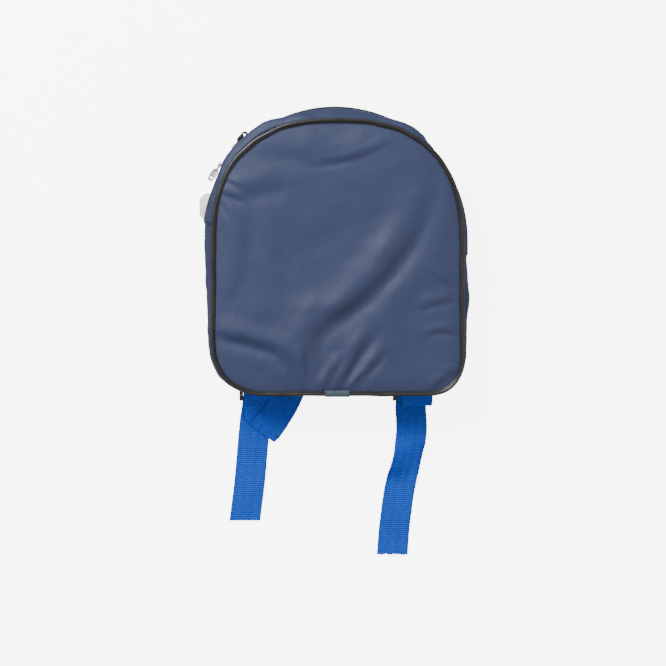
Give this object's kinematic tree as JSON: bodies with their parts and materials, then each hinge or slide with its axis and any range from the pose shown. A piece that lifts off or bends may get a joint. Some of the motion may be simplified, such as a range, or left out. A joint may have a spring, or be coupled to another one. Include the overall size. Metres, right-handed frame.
{
  "type": "school backpack",
  "caption": "Small soft school backpack lying on its back: D-shaped front that opens by a zip round the arch, piped seams, two padded straps with webbing tails.",
  "frame": {"origin": "middle of the object's footprint, on the surface that it lies on", "axes": "+Z out of the front panel, +Y towards the top of the bag, +X to the right as seen from the front"},
  "size_m": [0.2601, 0.4346, 0.0444],
  "materials": {
    "nylon": "satin coated nylon, plain weave",
    "foam": "open-cell foam",
    "lining": "matt lining",
    "piping": "glossy piping",
    "binding": "teal binding tape",
    "zip_tape": "knitted tape",
    "zip_chain": "coil chain",
    "nickel": "nickel plate",
    "webbing": "ribbed woven webbing",
    "plastic": "moulded plastic",
    "card": "coated card"
  },
  "bodies": {
    "bag": {"back_panel": "nylon", "lower_front_panel": "nylon", "lower_gusset": "nylon", "rear_gusset_strip": "nylon", "strap_cover_left": "nylon", "strap_cover_right": "nylon", "back_foam": "foam", "strap_foam_left": "foam", "strap_foam_right": "foam", "back_lining": "lining", "strap_backing_left": "lining", "strap_backing_right": "lining", "rear_piping": "piping", "lower_front_piping": "piping", "rear_seam_binding": "binding", "lower_front_seam_binding": "binding", "piping_tab": "binding", "rear_zip_tape": "zip_tape", "rear_zip_chain": "zip_chain", "webbing_left": "webbing", "webbing_right": "webbing", "webbing_under_left": "webbing", "strap_end_loop_left": "webbing", "strap_end_loop_right": "webbing", "carry_loop": "webbing", "hang_tag_pin": "plastic"},
    "flap": {"upper_front_panel": "nylon", "upper_front_piping": "piping", "upper_front_seam_binding": "binding", "front_gusset_strip": "nylon", "front_zip_tape": "zip_tape", "front_zip_chain": "zip_chain"},
    "slider_left": {"zip_slider_left": "nickel"},
    "pull_left": {"zip_pull_left": "nickel"},
    "slider_right": {"zip_slider_right": "nickel"},
    "pull_right": {"zip_pull_right": "nickel"},
    "lock_left": {"ladder_lock_left": "plastic"},
    "lock_right": {"ladder_lock_right": "plastic"},
    "tail_left": {"webbing_tail_left": "webbing"},
    "tail_right": {"webbing_tail_right": "webbing"},
    "tag": {"hang_tag": "card"}
  },
  "joints": [
    {"name": "flap_open", "type": "hinge", "parent": "bag", "child": "flap", "pos_m": [0.002, 0.0905, 0.0439], "axis": [0.9926, -0.1211, 0], "range_deg": [0, 130]},
    {"name": "slider_left_run", "type": "hinge", "parent": "bag", "child": "slider_left", "pos_m": [0.002, 0.09, 0.0236], "axis": [0, 0, 1], "range_deg": [0, 18]},
    {"name": "slider_right_run", "type": "hinge", "parent": "bag", "child": "slider_right", "pos_m": [0.002, 0.09, 0.0236], "axis": [0, 0, -1], "range_deg": [0, 130]},
    {"name": "pull_left_swing", "type": "hinge", "parent": "slider_left", "child": "pull_left", "pos_m": [-0.10882, 0.16335, 0.0236], "axis": [0, 0, -1], "range_deg": [0, 140]},
    {"name": "pull_right_swing", "type": "hinge", "parent": "slider_right", "child": "pull_right", "pos_m": [-0.09676, 0.17893, 0.0236], "axis": [0, 0, 1], "range_deg": [0, 140]},
    {"name": "lock_left_tilt", "type": "hinge", "parent": "bag", "child": "lock_left", "pos_m": [-0.072, -0.039, 0.0036], "axis": [1, 0, 0], "range_deg": [0, 17]},
    {"name": "lock_right_tilt", "type": "hinge", "parent": "bag", "child": "lock_right", "pos_m": [0.077, -0.039, 0.0036], "axis": [1, 0, 0], "range_deg": [0, 17]},
    {"name": "tail_left_lift", "type": "hinge", "parent": "bag", "child": "tail_left", "pos_m": [-0.0777, -0.106, 0.0016], "axis": [-1, 0, 0], "range_deg": [0, 80]},
    {"name": "tail_right_lift", "type": "hinge", "parent": "bag", "child": "tail_right", "pos_m": [0.0765, -0.076, 0.0016], "axis": [-1, 0, 0], "range_deg": [0, 80]},
    {"name": "tag_turn", "type": "hinge", "parent": "bag", "child": "tag", "pos_m": [-0.1045, 0.1215, 0.0005], "axis": [0, 0, 1], "range_deg": [-25, 25]}
  ]
}
